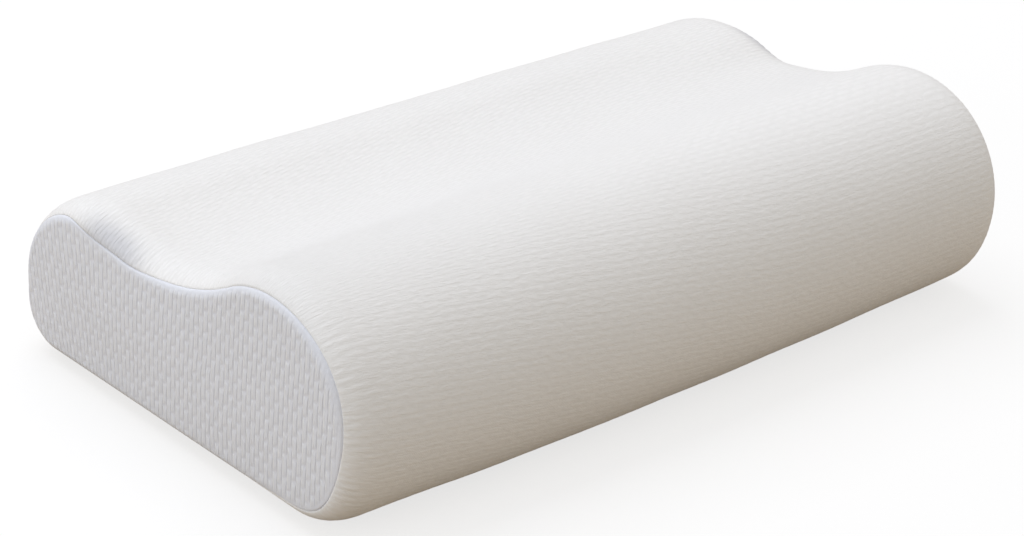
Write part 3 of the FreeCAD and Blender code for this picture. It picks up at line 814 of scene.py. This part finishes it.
def ring_lattice(ring, spacing):
    """The points of a square lattice that lie inside the ring, and how far each is from it."""
    low, high = ring.min(axis=0), ring.max(axis=0)
    columns = np.arange(low[0] + spacing / 2, high[0], spacing)
    rows = np.arange(low[1] + spacing / 2, high[1], spacing)
    across, up = np.meshgrid(columns, rows, indexing="ij")
    points = np.column_stack([across.ravel(), up.ravel()])
    ahead = np.roll(ring, -1, axis=0)
    inside = np.zeros(len(points), bool)
    for a, b in zip(ring, ahead):
        crosses = (a[1] > points[:, 1]) != (b[1] > points[:, 1])
        if crosses.any():
            at = a[0] + (points[:, 1] - a[1]) * (b[0] - a[0]) / (b[1] - a[1] + 1e-12)
            inside ^= crosses & (points[:, 0] < at)
    points = points[inside]
    return points, distance_to(points, ring)


def distance_to(points, ring):
    """How far each point is from the ring's own points."""
    return np.concatenate([
        np.sqrt(((part[:, None] - ring[None]) ** 2).sum(axis=2).min(axis=1))
        for part in np.array_split(points, max(1, len(points) // 500))
    ])


def fill_ring(ring, insets, spacing, margin):
    """A flat mesh inside a ring: rings at the given insets, then a lattice. Gives points, their distance
    from the ring, and triangles. The ring's own points come first."""
    along = unit(np.roll(ring, -1, axis=0) - np.roll(ring, 1, axis=0))
    inward = np.column_stack([-along[:, 1], along[:, 0]])
    rings = [ring + inward * inset for inset in insets]
    lattice, far = ring_lattice(ring, spacing)
    lattice = lattice[far > insets[-1] + margin]
    points = np.vstack(rings + [lattice])
    count = len(ring)
    edges = [(i, (i + 1) % count) for i in range(count)]
    found, _, faces, origins, _, _ = delaunay_2d_cdt([Vector(p) for p in points], edges, [], 1, 1e-7)
    order = [o[0] for o in origins]
    points = points[order]
    away = np.concatenate([np.repeat(insets, count), np.zeros(len(lattice))])[order]
    deep = np.array(order) >= count * len(insets)
    away[deep] = distance_to(points[deep], ring)
    first = np.argsort(order)
    renumber = np.empty(len(order), int)
    renumber[first] = np.arange(len(order))
    return points[first], away[first], renumber[np.array(faces)]


def end_panel(name, node, side):
    """An end panel: its edge goes on over the foam's rounded rim, its middle is crowned by the foam."""
    count = 720
    s = np.linspace(0, OUTLINE.length, count, endpoint=False)
    angle = seam_angle(s)
    start = rim(s, side, angle, SEAM_ROLL + SEAM_GAP)
    ring = start[:, 1:]
    insets = [0, 0.12 * MM, 0.35 * MM, 0.7 * MM, 1.2 * MM, 1.9 * MM, 2.8 * MM, 3.8 * MM]
    points, away, triangles = fill_ring(ring, insets, spacing=1.08 * MM, margin=0.7 * MM)
    nearest = np.argmin(((points[:, None, :] - ring[None, ::4, :]) ** 2).sum(axis=2), axis=1) * 4
    depth = RIM_DEPTH * (1 - np.cos(angle[nearest])) + (SEAM_ROLL + SEAM_GAP) * 0.7 + away
    surface = RIM_X + RIM_LENGTH * np.sqrt(1 - np.clip(1 - depth / RIM_DEPTH, 0, 1) ** 2)
    crown = CROWN * (1 - np.exp(-np.clip(depth - RIM_DEPTH, 0, 1) / (30 * MM)))
    roll = np.clip(1 - away / SEAM_ROLL, 0, 1)
    dive = SEAM_ROLL * 1.5 * (1 - np.sqrt(1 - roll ** 2)) + np.where(away < 0.05 * MM, SEAM_DEPTH, 0)
    lean = 0.20 * (points[:, 1] - 50 * MM) * smooth((points[:, 0] - 20 * MM) / (110 * MM))
    v = points[:, 1] + 0.9 * MM * waves(*points.T, 32, 24 * MM)
    u = (points[:, 0] - lean + 0.30 * MM * waves(*points.T, 31, 30 * MM)) * ROW_PITCH / END_PITCH
    flow = smooth((away - 0.8 * MM) / (4.0 * MM))
    relief = END_RELIEF * drops(u, v, *END_DROP) * flow
    gentle = 0.3 * MM * waves(u, v, 11 + (side > 0), 90 * MM) * smooth(away / (20 * MM))
    height = surface + crown - dive + relief + gentle
    outer = np.column_stack([side * height, points])

    coarse, away_inner, inner_triangles = fill_ring(ring, [0], spacing=9 * MM, margin=4 * MM)
    nearest = np.argmin(((coarse[:, None, :] - ring[None]) ** 2).sum(axis=2), axis=1)
    edge = np.abs(start[nearest, 0]) - SEAM_DEPTH - 1.0 * MM
    inner_height = edge + (PANEL_X - COVER_THICKNESS - edge) * smooth(away_inner / RIM_DEPTH)
    inner = np.column_stack([side * inner_height, coarse])
    first = len(outer)
    faces = triangles.tolist() + (inner_triangles + first).tolist()
    faces += [(i, (i + 1) % count, first + (i + 1) % count, first + i) for i in range(count)]
    cloth = np.vstack([np.column_stack([u, v, flow]), np.column_stack([coarse, np.ones(len(coarse))])])
    piece = new_object(name, np.vstack([outer, inner]), faces, END_KNIT, cloth)
    face_outwards(piece)
    stand_in(piece, "pillow", node)


def seam_thread(name, node, side, angle_at, middle, deep, radius, pitch):
    """The thread down in an end's seam: a laid cord that closes it and stitches that cross it. angle_at(s)
    is where the seam lies on the rim, middle how far on its middle is, and deep how far in."""
    parts = Parts()
    s = np.linspace(0, OUTLINE.length, 480, endpoint=False)
    cord = rim(s, side, angle_at(s), middle, deep)
    up = rim(s, side, angle_at(s), middle, 0) - cord
    parts.tube(cord, radius, up, closed=True)
    count = round(OUTLINE.length / pitch)
    s = (np.arange(count) + 0.5) * OUTLINE.length / count
    lean = 0.25 * pitch
    stitches = np.stack([
        rim(s + shift * lean, side, angle_at(s + shift * lean), middle + shift * 1.5 * radius,
            deep - rise * radius)
        for shift, rise in ((-1, 0.4), (-0.5, 1.1), (0.5, 1.1), (1, 0.4))
    ], axis=1)
    up = rim(s, side, angle_at(s), middle, 0) - rim(s, side, angle_at(s), middle, deep)
    for path, above in zip(stitches, up):
        parts.tube(path, 0.35 * radius, above, sides=5)
    parts.finish(name, THREAD, "pillow", node)


# ---------------------------------------------------------------- zip

def zip_tape(name, node):
    low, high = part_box(node)
    x = np.linspace(low.x, high.x, 145)
    z = np.linspace(low.z, high.z, 23)
    z[0 if low.z > ZIP_Z else -1] = ZIP_Z + (0.05 * MM if low.z > ZIP_Z else -0.05 * MM)
    Z, X = np.meshgrid(z, x, indexing="ij")
    rib = 0.05 * MM * np.cos(np.arange(23) * math.pi)[:, None]
    outer = np.stack([X, high.y + rib + 0 * X, Z], axis=2)
    inner = np.stack([X, low.y + 0 * X, Z], axis=2)
    parts = Parts()
    parts.slab(outer, inner)
    piece = parts.finish(name, TAPE, "pillow", node)


def zip_coil(name, node, reach, shift):
    """One nylon coil. Its loops reach over the middle of the zip, between those of the other coil."""
    low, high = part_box(node)
    wire, pitch = 0.32 * MM, 1.4 * MM
    turns = int((high.x - low.x) / pitch) - 1
    t = np.arange(turns * 12) / 12
    near, far = (low.z, high.z + reach) if low.z < ZIP_Z - 1 * MM else (low.z - reach, high.z)
    half_width, half_height = (far - near) / 2 - wire, (high.y - low.y) / 2 - wire
    turn = 2 * math.pi * t
    head = -1 if shift else 1
    path = np.column_stack([
        low.x + pitch * (0.5 + t + shift),
        (low.y + high.y) / 2 + half_height * np.sin(turn),
        (near + far) / 2 + head * half_width * -np.sign(np.cos(turn)) * np.abs(np.cos(turn)) ** 0.8,
    ])
    parts = Parts()
    parts.tube(path, wire, (1, 0, 0), sides=5)
    middle = (low.z + high.z) / 2
    ends = np.array([(x, (low.y + high.y) / 2, middle) for x in (low.x + pitch, high.x - pitch)])
    cord = ends[0] + (ends[1] - ends[0]) * np.linspace(0, 1, 60)[:, None]
    parts.tube(cord, 0.36 * MM, (0, 1, 0))
    parts.finish(name, COIL, "pillow", node)


def topstitch(name, node, way):
    """A row of stitches beside the slit, and half of the bar across each of its ends."""
    parts = Parts()
    line = OUTLINE.length + way * STITCH_SETBACK

    def row(along, depth):
        return skin(np.full(len(along), line), along - STITCH_END, depth)

    parts.stitches(row, 2 * STITCH_END, pitch=3.0 * MM, stitch=2.4 * MM, radius=0.25 * MM, up=(0, 1, 0))
    for x in (-STITCH_END, STITCH_END):
        for offset in (-0.35 * MM, 0.35 * MM):
            bar = lambda along, depth: skin(OUTLINE.length + way * along, x + offset + 0 * along, depth)
            parts.stitches(bar, STITCH_SETBACK, pitch=1.6 * MM, stitch=1.5 * MM, radius=0.22 * MM,
                           up=(0, 1, 0))
    parts.finish(name, THREAD, "pillow", node)


def zip_stop(parts, low, high):
    """A crimped clip: a rounded block with two ridges where it was pressed. Millimetres."""
    parts.block(low, high, 0.35)
    middle = (low[0] + high[0]) / 2
    for shift in (-0.55, 0.55):
        parts.block((middle + shift - 0.3, high[1] - 0.4, low[2] + 0.25),
                    (middle + shift + 0.3, high[1] + 0.18, high[2] - 0.25), 0.14)


def zip_stops():
    low, high = (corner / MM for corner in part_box("zip_top_stops"))
    tall = 2.1
    parts = Parts()
    zip_stop(parts, low, (high.x, high.y, low.z + tall))
    zip_stop(parts, (low.x, low.y, high.z - tall), high)
    parts.finish("zip_stops_top", METAL, "pillow", "zip_top_stops")
    low, high = (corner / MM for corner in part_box("zip_bottom_stop"))
    parts = Parts()
    zip_stop(parts, low, high)
    parts.finish("zip_stop_bottom", METAL, "pillow", "zip_bottom_stop")


def zip_slider():
    """The slider's two plates, side walls and divider, with an arched bridge over the pull tab's bar. It is
    wider at the end where the coils come apart, which is the one towards the closed end of the zip."""
    low, high = (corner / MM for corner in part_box("zip_slider"))
    middle, height = (low.x + high.x) / 2, (low.z + high.z) / 2
    half = (high.z - low.z) / 2

    def shield(trim):
        wide, narrow, nose, tail = half - trim, half - 0.55 - trim, low.x + trim, high.x - trim
        return rounded_outline([
            (nose, height - wide, 1.4), (middle, height - wide, 4.0), (tail, height - narrow, 1.2),
            (tail, height + narrow, 1.2), (middle, height + wide, 4.0), (nose, height + wide, 1.4),
        ])

    parts = Parts()
    upper = low.y + 3.7
    parts.plate([shield(0)], upper, upper + 1.1, 0.35)
    parts.plate([shield(0.15)], low.y, low.y + 1.0, 0.35)
    parts.plate([shield(1.5)], upper + 0.9, upper + 1.3, 0.15)
    for side in (-1, 1):
        edge = height + side * (half - 0.5)
        parts.block((low.x + 1.5, low.y + 2.15, edge - 0.42), (high.x - 1.9, upper + 0.3, edge + 0.42), 0.2)
    parts.block((middle - 1.5, low.y + 0.5, height - 0.2), (middle + 1.5, upper + 0.5, height + 0.2), 0.08)
    turn = np.linspace(0, math.pi, 33)
    x = -2.2 * np.sign(np.cos(turn)) * np.abs(np.cos(turn)) ** 0.6
    y = np.sin(turn) ** 0.6
    arch = np.column_stack([middle + x, upper + 0.75 + (high.y - 0.4 - upper - 0.75) * y, 0 * x + height])
    away = arch - np.array([middle, upper + 1.6, height])
    parts.tube(arch * MM, 0.8 * MM, away, sides=12, squash=0.5)
    for side in (-1, 1):
        parts.block((middle + side * 2.2 - 0.75, upper + 0.8, height - 1.0),
                    (middle + side * 2.2 + 0.75, upper + 1.75, height + 1.0), 0.3)
    parts.finish("slider_body", METAL, "slider", "zip_slider")


def zip_pull_tab():
    """A waisted tab with a window behind its bar, a rounded end, and ridges to grip."""
    low, high = (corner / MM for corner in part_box("zip_pull_tab"))
    hinge, height, half = low.x + 0.6, (low.z + high.z) / 2, (high.z - low.z) / 2
    side = [(low.x, half, 0.5), (hinge + 5.4, half, 2.0), (hinge + 8.0, half - 0.65, 2.5),
            (hinge + 13.0, half - 0.65, 2.5), (hinge + 15.8, half, 2.5), (high.x, half, 2.2)]
    outer = [(x, height - z, radius) for x, z, radius in side]
    outer += [(x, height + z, radius) for x, z, radius in side[::-1]]
    window = [(hinge + x, height + z, 0.45) for x, z in ((0.6, -1.5), (4.6, -1.5), (4.6, 1.5), (0.6, 1.5))]
    parts = Parts()
    parts.plate([rounded_outline(outer), rounded_outline(window)], low.y, high.y, 0.32)
    for k in range(4):
        x = hinge + 16.2 + 1.15 * k
        reach = 1.75 - 0.12 * k ** 1.5
        parts.block((x - 0.25, low.y - 0.10, height - reach), (x + 0.25, high.y + 0.10, height + reach), 0.15)
    parts.finish("pull_tab_body", METAL, "pull_tab", "zip_pull_tab")


def care_label():
    """A blank satin ribbon, folded in two: it comes out of the right end's seam and hangs over the end."""
    low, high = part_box("care_label")
    middle = (low.y + high.y) / 2
    s = np.array([OUTLINE.starts[1] + BACK_LOBE_RADIUS * math.pi / 2])
    seam = seam_angle(s)

    def ply(lift):
        """The line of one ply in x and z, from down in the seam over the panel's edge."""
        steps = [(seam, 1.05, 1.4), (seam, 1.05 + 0.6 * lift, 0.55), (seam, 1.5 + lift, 0.0),
                 (seam, 2.3 + lift, -0.10), (seam + 0.12, 2.2, -0.15), (seam + 0.22, 2.2, -0.25)]
        line = [rim(s, 1, angle, along * MM, (down - lift) * MM)[0, [0, 2]] for angle, along, down in steps]
        start = line[-1]
        foot = np.array([PANEL_X + (2.6 + lift) * MM, low.z])
        hang = np.linspace(0, 1, 18)[1:, None]
        knee = np.array([PANEL_X + (1.4 + lift) * MM, start[1] - 6 * MM])
        curve = (1 - hang) ** 2 * start + 2 * hang * (1 - hang) * knee + hang ** 2 * foot
        return np.vstack([line, curve])

    front, back = ply(0.45), ply(0.12)
    fold = np.array([[back[-1, 0] + out * MM, low.z - 0.3 * MM] for out in (0.27, 0.06)])
    line = np.vstack([front, fold, back[::-1]])
    ahead = unit(np.gradient(line, axis=0))
    normal = np.column_stack([-ahead[:, 1], ahead[:, 0]]) * 0.1 * MM
    y = np.linspace(low.y, high.y, 25)
    curl = 0.6 * MM * ((y - middle) / (high.y - middle)) ** 2
    crest, bend = BACK_Y - BACK_LOBE_RADIUS, BACK_LOBE_RADIUS - 6 * MM
    droop = bend - np.sqrt(bend ** 2 - (y - crest) ** 2)
    hung = smooth((line[0, 1] - line[:, 1]) / (line[0, 1] - low.z))

    def face(offset):
        x = (line + offset)[:, 0][:, None] + curl[None] * hung[:, None]
        z = (line + offset)[:, 1][:, None] - droop[None] * (1 - hung[:, None])
        return np.stack([x, np.repeat(y[None], len(line), axis=0), z], axis=2)

    parts = Parts()
    parts.slab(face(normal), face(-normal))
    piece = parts.finish("care_ribbon", LABEL, "pillow", "care_label")


# ---------------------------------------------------------------- liner and foam

LINER_OUT = COVER_THICKNESS + LAYER_GAP
LINER_IN = LINER_OUT + LINER_THICKNESS
FOAM_OUT = LINER_IN + LAYER_GAP
LINER_SEAM = math.radians(76)
LINER_SEAM_HALF = 0.03        # half the seam's width, in radians round the rim


def under_skin(s, x, depth, seam=0.0):
    """Points at a depth under the cover's surface, pressed further in behind the zip."""
    points, _ = OUTLINE.at(s)
    behind = smooth((19 * MM - np.abs(points[:, 1] - ZIP_Z)) / (7 * MM)) * (points[:, 0] > 0)
    behind = behind * smooth((226 * MM - np.abs(x)) / (9 * MM))
    return skin(s, x, depth + 2.6 * MM * behind + seam)


def under_rim(s, side, angle, depth):
    """The same round an end's rim, pressed in where the cover's seam is."""
    off = (angle - seam_angle(s)) * 15 * MM
    depth = depth + 1.5 * MM * bell(off, 0, 3)
    x = RIM_X + (RIM_LENGTH - depth) * np.sin(angle)
    return under_skin(s, side * x, RIM_DEPTH - (RIM_DEPTH - depth) * np.cos(angle))


def layer_grid(s, depth, last_angle, flat_count, rim_count):
    """A layer round the pillow: its columns run from one end's rim over the flat to the other's."""
    angles = np.linspace(0, last_angle, rim_count + 1)[1:]
    left = [under_rim(s, -1, angle, depth) for angle in angles[::-1]]
    right = [under_rim(s, 1, angle, depth) for angle in angles]
    flat = [under_skin(s, x, depth) for x in np.linspace(-RIM_X, RIM_X, flat_count)]
    return np.stack(left + flat + right, axis=1)


def end_height(away, start_angle, depth):
    """How far out along x a layer's end is, at a distance inside the ring where its face starts."""
    inset = RIM_DEPTH - (RIM_DEPTH - depth) * math.cos(start_angle) + away
    across = np.clip((RIM_DEPTH - inset) / (RIM_DEPTH - depth), 0, 1)
    return RIM_X + (RIM_LENGTH - depth) * np.sqrt(1 - across ** 2)


def foam_core():
    """The moulded core, closed over both ends."""
    s = np.linspace(0, OUTLINE.length, 240, endpoint=False)
    grid = layer_grid(s, FOAM_OUT, math.pi / 2, flat_count=44, rim_count=10)
    rows, columns = grid.shape[:2]
    uneven = 0.12 * MM * waves(grid[:, :, 0], s[:, None], 21, 45 * MM)
    grid = grid + grid_normals(grid, True) * uneven[:, :, None]
    points, faces = [grid.reshape(-1, 3)], grid_faces(rows, columns, True)
    count = rows * columns
    for side, column in ((-1, 0), (1, columns - 1)):
        ring = grid[:, column]
        flat, away, triangles = fill_ring(ring[:, 1:], [0], spacing=8 * MM, margin=4 * MM)
        new = flat[rows:]
        x = np.interp(away[rows:], [0, 30 * MM], [0, 0.6 * MM]) + np.abs(ring[:, 0]).mean()
        points.append(np.column_stack([side * x, new]))
        number = np.concatenate([np.arange(rows) * columns + column, count + np.arange(len(new))])
        faces += [tuple(number[list(triangle)]) for triangle in triangles]
        count += len(new)
    parts = Parts()
    parts.add(np.vstack(points), faces)
    piece = parts.finish("foam_block", FOAM, "pillow", "foam_core")


def liner():
    """The tricot liner: a sleeve and two ends, sewn together round the rims."""
    s = np.linspace(0, OUTLINE.length, 220, endpoint=False)
    outer, inner = (layer_grid(s, depth, LINER_SEAM - LINER_SEAM_HALF, flat_count=50, rim_count=8)
                    for depth in (LINER_OUT, LINER_IN))
    parts = Parts()
    parts.slab(outer, inner, closed=True)
    piece = parts.finish("liner_sleeve", TRICOT, "pillow", "liner_wrap")
    for name, side in (("left", -1), ("right", 1)):
        rings = [under_rim(s, side, LINER_SEAM + LINER_SEAM_HALF, depth) for depth in (LINER_OUT, LINER_IN)]
        insets = [0, 1.5 * MM, 3 * MM, 5 * MM]
        flat, away, triangles = fill_ring(rings[0][:, 1:], insets, spacing=7 * MM, margin=3 * MM)
        faces, layers = [], []
        for ring, depth in zip(rings, (LINER_OUT, LINER_IN)):
            height = end_height(away, LINER_SEAM + LINER_SEAM_HALF, depth)
            layer = np.column_stack([side * height, flat])
            layer[:len(s)] = ring
            faces += (triangles + len(layers) * len(flat)).tolist()
            layers.append(layer)
        far, count = len(flat), len(s)
        faces += [(i, (i + 1) % count, far + (i + 1) % count, far + i) for i in range(count)]
        parts = Parts()
        parts.add(np.vstack(layers), faces)
        piece = parts.finish(f"liner_{name}_cap", TRICOT, "pillow", f"liner_{name}_end")
        ring = rings[0][:, 1:]
        seam_thread(f"liner_{name}_thread", f"liner_{name}_seam", side, lambda s: np.full(len(s), LINER_SEAM),
                    middle=0.0, deep=LINER_OUT + 0.45 * MM, radius=0.42 * MM, pitch=3.2 * MM)


# ---------------------------------------------------------------- scene

SENSOR_WIDTH, FOCAL_LENGTH = 36, 100.97  # in millimetres


def camera():
    """Looks down the pillow from its left end and front."""
    azimuth, elevation, roll = math.radians(-43.95), math.radians(26.64), math.radians(4.01)
    target = Vector((-11.6 * MM, 0, 35.7 * MM))
    distance = 1648 * MM
    back = Vector((math.sin(azimuth) * math.cos(elevation), -math.cos(azimuth) * math.cos(elevation),
                   math.sin(elevation)))
    right = (-back).cross(Vector((0, 0, 1))).normalized()
    up = right.cross(-back)
    across = right * math.cos(roll) + up * math.sin(roll)
    above = up * math.cos(roll) - right * math.sin(roll)
    data = bpy.data.cameras.new("camera")
    data.sensor_width = SENSOR_WIDTH
    data.lens = FOCAL_LENGTH
    data.clip_start, data.clip_end = 0.05, 50
    eye = placed("camera", data)
    turn = Matrix((across, above, back)).transposed()
    eye.matrix_world = Matrix.Translation(target + back * distance) @ turn.to_4x4()
    bpy.context.scene.camera = eye


def area_light(name, place, aim, size, power, colour):
    data = bpy.data.lights.new(name, "AREA")
    data.shape = "RECTANGLE"
    data.size, data.size_y = size
    data.energy = power
    data.color = colour
    lamp = placed(name, data)
    direction = Vector(aim) - Vector(place)
    lamp.matrix_world = Matrix.Translation(place) @ direction.to_track_quat("-Z", "Y").to_matrix().to_4x4()


def stage():
    """A plain pale floor and soft studio light. The floor looks white, but throws back only a little warm
    light, so the front of the pillow falls to a warm grey towards its foot."""
    n = Nodes("floor_paper", (1.0, 1.0, 1.0), 0.9, specular_ior_level=0.0)
    seen = n.node("ShaderNodeLightPath").outputs["Is Camera Ray"]
    n.paint("Base Color", n.mix(seen, (0.40, 0.305, 0.19), (0.30, 0.30, 0.30)))
    n.shader.inputs["Emission Color"].default_value = (1, 1, 1, 1)
    n.paint("Emission Strength", n.math("MULTIPLY", seen, 0.72))
    half = 8.0
    floor = new_object("floor", [(-half, -half, 0), (half, -half, 0), (half, half, 0), (-half, half, 0)],
                       [(0, 1, 2, 3)], n.material)
    area_light("key_above", (0.0, 1.0, 2.2), (0, 0, 0), (2.2, 1.8), 28.2, (0.965, 0.962, 1.0))
    area_light("left_window", (-2.2, 0.35, 0.35), (0, 0, 0.05), (1.4, 1.4), 15.5, (0.86, 0.92, 1.0))
    area_light("front_fill", (1.2, -2.4, 1.2), (0, 0, 0.05), (1.6, 1.2), 5, (1.0, 0.92, 0.78))
    world = bpy.data.worlds.new("studio")
    world.use_nodes = True
    world.node_tree.nodes["Background"].inputs["Color"].default_value = (1, 1, 1, 1)
    world.node_tree.nodes["Background"].inputs["Strength"].default_value = 0.55
    bpy.context.scene.world = world
    bpy.context.scene.view_settings.view_transform = "Standard"


camera()
stage()
foam_core()
liner()
cover_wrap()
end_panel("cover_left_panel", "cover_left_end", -1)
end_panel("cover_right_panel", "cover_right_end", 1)
for word, way in (("left", -1), ("right", 1)):
    seam_thread(f"cover_{word}_thread", f"cover_{word}_seam", way, seam_angle, SEAM_ROLL + SEAM_GAP / 2,
                deep=1.7 * MM, radius=0.55 * MM, pitch=3.0 * MM)
care_label()
for word, way in (("lower", -1), ("upper", 1)):
    zip_tape(f"zip_tape_{word}", f"zip_{word}_tape")
    zip_coil(f"zip_coil_{word}", f"zip_{word}_coil", reach=0.85 * MM,
             shift=0.5 if way > 0 else 0.0)
    topstitch(f"topstitch_{word}", f"zip_{word}_stitch", way)
zip_stops()
zip_slider()
zip_pull_tab()
